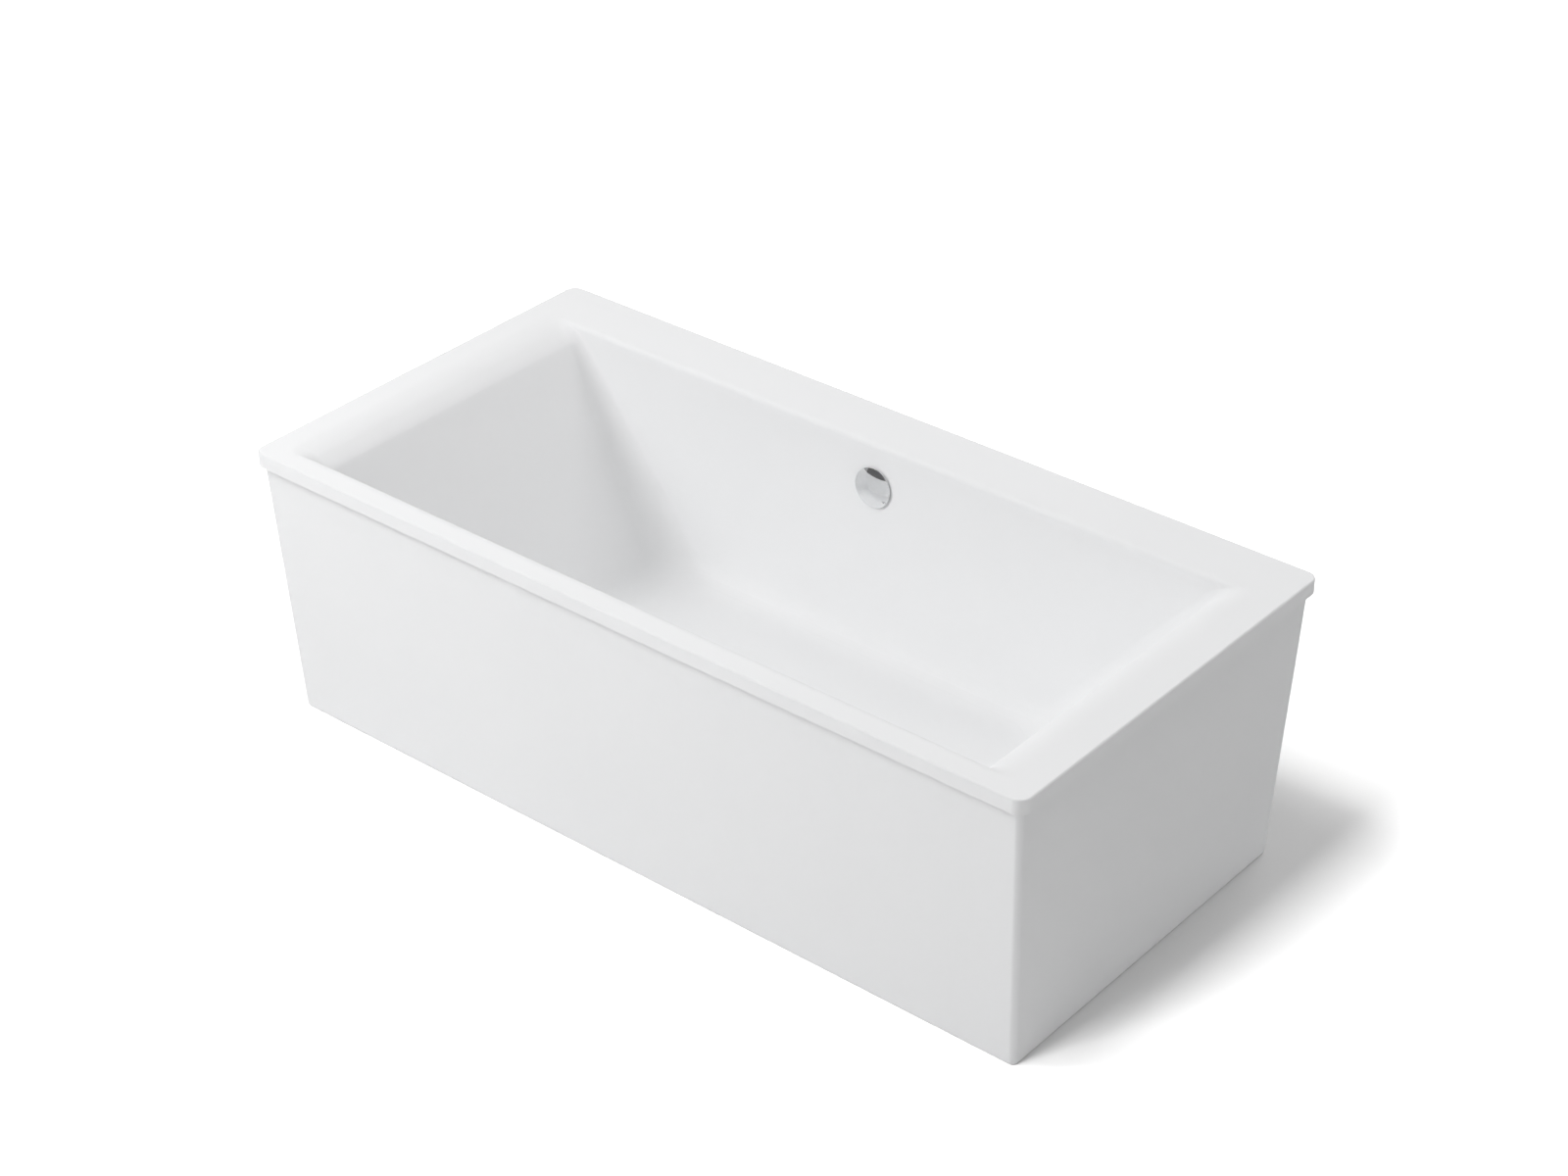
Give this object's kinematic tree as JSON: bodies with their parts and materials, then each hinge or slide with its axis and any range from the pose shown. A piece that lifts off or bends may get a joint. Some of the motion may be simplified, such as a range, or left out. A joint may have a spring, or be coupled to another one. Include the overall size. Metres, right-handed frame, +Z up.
{
  "type": "freestanding bathtub",
  "caption": "Rectangular freestanding bathtub with a double-ended basin, flat rim, drafted skirt, rotary overflow knob and pop-up waste, on a steel carrier with levelling feet.",
  "frame": {"origin": "on the floor under the centre of the rim's outer rectangle", "axes": "+X along the bath, +Y from the narrow-deck side (front) towards the wide-deck side with the overflow (back), +Z up"},
  "size_m": [1.8, 0.9, 0.592],
  "materials": {
    "white_acrylic": "polished white sanitary acrylic",
    "skirt_acrylic": "satin-gloss white acrylic",
    "chrome": "polished chrome plate",
    "zinc_steel": "galvanised steel tube",
    "zinc_fastener": "zinc-plated steel",
    "pine": "planed softwood",
    "chipboard": "raw chipboard",
    "black_rubber": "matt black rubber",
    "cable_sheath": "black plastic sheath",
    "brass": "turned brass",
    "white_plastic": "moulded white polypropylene",
    "grey_plastic": "moulded grey plastic",
    "black_nylon": "moulded black nylon"
  },
  "bodies": {
    "bath": {"base_board": "chipboard", "batten_back": "pine", "batten_front": "pine", "batten_left": "pine", "batten_right": "pine", "bowden_cable": "cable_sheath", "bracket_back_left": "zinc_steel", "bracket_back_right": "zinc_steel", "bracket_front_left": "zinc_steel", "bracket_front_right": "zinc_steel", "bracket_screw_back_left": "zinc_fastener", "bracket_screw_back_right": "zinc_fastener", "bracket_screw_front_left": "zinc_fastener", "bracket_screw_front_right": "zinc_fastener", "cross_bar_left": "zinc_steel", "cross_bar_right": "zinc_steel", "foot_back_left_lock_nut": "zinc_fastener", "foot_back_left_top_nut": "zinc_fastener", "foot_back_right_lock_nut": "zinc_fastener", "foot_back_right_top_nut": "zinc_fastener", "foot_front_left_lock_nut": "zinc_fastener", "foot_front_left_top_nut": "zinc_fastener", "foot_front_right_lock_nut": "zinc_fastener", "foot_front_right_top_nut": "zinc_fastener", "outlet_nut": "grey_plastic", "overflow_bush": "grey_plastic", "overflow_front_gasket": "black_rubber", "overflow_hose": "grey_plastic", "overflow_housing": "white_plastic", "overflow_rear_gasket": "black_rubber", "rail_back": "zinc_steel", "rail_front": "zinc_steel", "skirt": "skirt_acrylic", "trap": "white_plastic", "tub_shell": "white_acrylic", "waste_body": "white_plastic", "waste_flange": "chrome", "waste_lower_gasket": "black_rubber", "waste_upper_gasket": "black_rubber"},
    "knob": {"knob_disc": "chrome", "knob_spindle": "brass", "cable_drum": "grey_plastic"},
    "plug": {"plug_cap": "chrome", "plug_seal": "black_rubber", "plug_stem": "brass"},
    "lever": {"lift_lever": "grey_plastic"},
    "foot_front_left": {"foot_front_left_pad": "black_nylon", "foot_front_left_rod": "zinc_fastener"},
    "foot_back_left": {"foot_back_left_pad": "black_nylon", "foot_back_left_rod": "zinc_fastener"},
    "foot_front_right": {"foot_front_right_pad": "black_nylon", "foot_front_right_rod": "zinc_fastener"},
    "foot_back_right": {"foot_back_right_pad": "black_nylon", "foot_back_right_rod": "zinc_fastener"}
  },
  "joints": [
    {"name": "knob_turn", "type": "hinge", "parent": "bath", "child": "knob", "pos_m": [0, 0.31152, 0.502], "axis": [0, -0.9976, 0.0698], "range_deg": [0, 90]},
    {"name": "plug_lift", "type": "slide", "parent": "bath", "child": "plug", "axis": [0, 0, 1], "range_m": [0, 0.01]},
    {"name": "lever_swing", "type": "hinge", "parent": "bath", "child": "lever", "pos_m": [0.019, -0.039, 0.1], "axis": [0, 1, 0], "range_deg": [0, 30.6]},
    {"name": "foot_front_left_travel", "type": "slide", "parent": "bath", "child": "foot_front_left", "axis": [0, 0, 1], "range_m": [0, 0.02]},
    {"name": "foot_back_left_travel", "type": "slide", "parent": "bath", "child": "foot_back_left", "axis": [0, 0, 1], "range_m": [0, 0.02]},
    {"name": "foot_front_right_travel", "type": "slide", "parent": "bath", "child": "foot_front_right", "axis": [0, 0, 1], "range_m": [0, 0.02]},
    {"name": "foot_back_right_travel", "type": "slide", "parent": "bath", "child": "foot_back_right", "axis": [0, 0, 1], "range_m": [0, 0.02]}
  ],
  "couplings": [
    {"joint": "plug_lift", "follows": "knob_turn", "m_per_rad": 0.006366},
    {"joint": "lever_swing", "follows": "knob_turn", "ratio": 0.33888}
  ]
}
